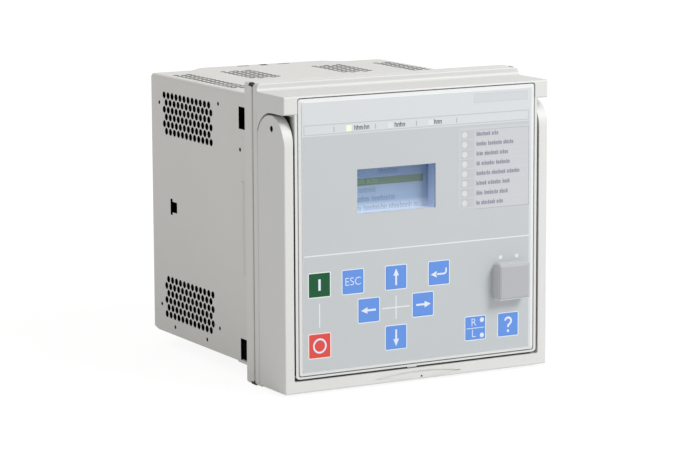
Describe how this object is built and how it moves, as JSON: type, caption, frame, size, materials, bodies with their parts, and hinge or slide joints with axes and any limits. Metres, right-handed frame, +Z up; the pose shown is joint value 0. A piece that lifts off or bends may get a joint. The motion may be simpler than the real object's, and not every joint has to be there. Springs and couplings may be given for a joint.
{
  "type": "protection relay",
  "caption": "Flush-mounted protection relay: perforated sheet case behind a square panel frame, with a draw-out unit that has a display, keys, a front port and a bail handle.",
  "frame": {"origin": "middle of the frame's rear face, on the panel plane and the axis of the panel cut-out", "axes": "+Y into the panel, +X to the right of a person in front of it, +Z up"},
  "size_m": [0.177, 0.2049, 0.177],
  "materials": {
    "case_sheet": "satin grey coat on sheet steel",
    "frame_casting": "satin light grey coat",
    "seal_rubber": "matte black rubber",
    "rail_plastic": "moulded nylon",
    "terminal_grey": "moulded dark grey plastic",
    "terminal_green": "moulded green plastic",
    "clamp_brass": "plated brass",
    "screw_steel": "zinc plated",
    "bezel_plastic": "fine moulded texture, light grey",
    "handle_plastic": "fine moulded texture, light grey",
    "plate_plastic": "moulded light grey",
    "film_print": "printed polyester film, fine texture",
    "window_clear": "clear polycarbonate",
    "display_glass": "blue-grey liquid crystal panel",
    "card_white": "white insert card",
    "lens_lit": "translucent light pipe",
    "lens_clear": "translucent light pipe",
    "diode_white": "moulded diode body",
    "board_green": "green solder mask",
    "switch_black": "black moulding",
    "lens_dark": "dark red optical plastic",
    "cover_grey": "grey moulded plastic",
    "chassis_steel": "zinc plated sheet",
    "winding_brown": "taped winding in a laminated core",
    "relay_blue": "sealed relay housing",
    "winding_yellow": "yellow taped winding",
    "can_blue": "sleeved aluminium can",
    "key_green": "printed key field",
    "key_red": "printed key field",
    "key_blue": "printed key field"
  },
  "bodies": {
    "case": {"case_wrap": "case_sheet", "case_floor": "case_sheet", "case_back": "case_sheet", "case_frame": "frame_casting", "frame_seal": "seal_rubber", "guide_rails": "rail_plastic", "current_terminals": "terminal_grey", "current_terminal_screws": "clamp_brass", "signal_terminals": "terminal_green", "signal_terminal_screws": "clamp_brass", "back_screws": "screw_steel", "earth_screw": "screw_steel", "earth_washer": "clamp_brass"},
    "unit": {"bezel": "bezel_plastic", "front_plate": "plate_plastic", "front_film": "film_print", "display_window": "window_clear", "display_module": "display_glass", "label_card": "card_white", "status_lenses": "lens_lit", "alarm_lenses": "lens_clear", "leds": "diode_white", "hmi_board": "board_green", "key_switches": "switch_black", "hmi_spacers": "screw_steel", "hmi_screws": "screw_steel", "port_socket": "switch_black", "port_lenses": "lens_dark", "handle_pins": "screw_steel", "chassis_left": "chassis_steel", "chassis_right": "chassis_steel", "chassis_rear": "chassis_steel", "chassis_screws": "screw_steel", "transformer_board": "board_green", "input_transformers": "winding_brown", "cpu_board": "board_green", "cpu_chips": "switch_black", "io_board": "board_green", "output_relays": "relay_blue", "power_transformer": "winding_yellow", "capacitors": "can_blue", "board_links": "switch_black", "current_plug": "terminal_grey", "signal_plugs": "terminal_green"},
    "handle": {"handle": "handle_plastic"},
    "port_cover": {"port_cover": "cover_grey"},
    "key_close": {"key_close": "key_green"},
    "key_open": {"key_open": "key_red"},
    "key_escape": {"key_escape": "key_blue"},
    "key_up": {"key_up": "key_blue"},
    "key_left": {"key_left": "key_blue"},
    "key_right": {"key_right": "key_blue"},
    "key_down": {"key_down": "key_blue"},
    "key_enter": {"key_enter": "key_blue"},
    "key_remote": {"key_remote": "key_blue"},
    "key_help": {"key_help": "key_blue"}
  },
  "joints": [
    {"name": "unit_slide", "type": "slide", "parent": "case", "child": "unit", "axis": [0, -1, 0], "range_m": [0, 0.16]},
    {"name": "handle_hinge", "type": "hinge", "parent": "unit", "child": "handle", "pos_m": [0, -0.03347, 0.06448], "axis": [-1, 0, 0], "range_deg": [0, 35]},
    {"name": "port_cover_pull", "type": "slide", "parent": "unit", "child": "port_cover", "axis": [0, -1, 0], "range_m": [0, 0.015]},
    {"name": "key_close_press", "type": "slide", "parent": "unit", "child": "key_close", "axis": [0, 1, 0], "range_m": [0, 0.0005], "stiffness_N_per_m": 1500},
    {"name": "key_open_press", "type": "slide", "parent": "unit", "child": "key_open", "axis": [0, 1, 0], "range_m": [0, 0.0005], "stiffness_N_per_m": 1500},
    {"name": "key_escape_press", "type": "slide", "parent": "unit", "child": "key_escape", "axis": [0, 1, 0], "range_m": [0, 0.0005], "stiffness_N_per_m": 1500},
    {"name": "key_up_press", "type": "slide", "parent": "unit", "child": "key_up", "axis": [0, 1, 0], "range_m": [0, 0.0005], "stiffness_N_per_m": 1500},
    {"name": "key_left_press", "type": "slide", "parent": "unit", "child": "key_left", "axis": [0, 1, 0], "range_m": [0, 0.0005], "stiffness_N_per_m": 1500},
    {"name": "key_right_press", "type": "slide", "parent": "unit", "child": "key_right", "axis": [0, 1, 0], "range_m": [0, 0.0005], "stiffness_N_per_m": 1500},
    {"name": "key_down_press", "type": "slide", "parent": "unit", "child": "key_down", "axis": [0, 1, 0], "range_m": [0, 0.0005], "stiffness_N_per_m": 1500},
    {"name": "key_enter_press", "type": "slide", "parent": "unit", "child": "key_enter", "axis": [0, 1, 0], "range_m": [0, 0.0005], "stiffness_N_per_m": 1500},
    {"name": "key_remote_press", "type": "slide", "parent": "unit", "child": "key_remote", "axis": [0, 1, 0], "range_m": [0, 0.0005], "stiffness_N_per_m": 1500},
    {"name": "key_help_press", "type": "slide", "parent": "unit", "child": "key_help", "axis": [0, 1, 0], "range_m": [0, 0.0005], "stiffness_N_per_m": 1500}
  ]
}
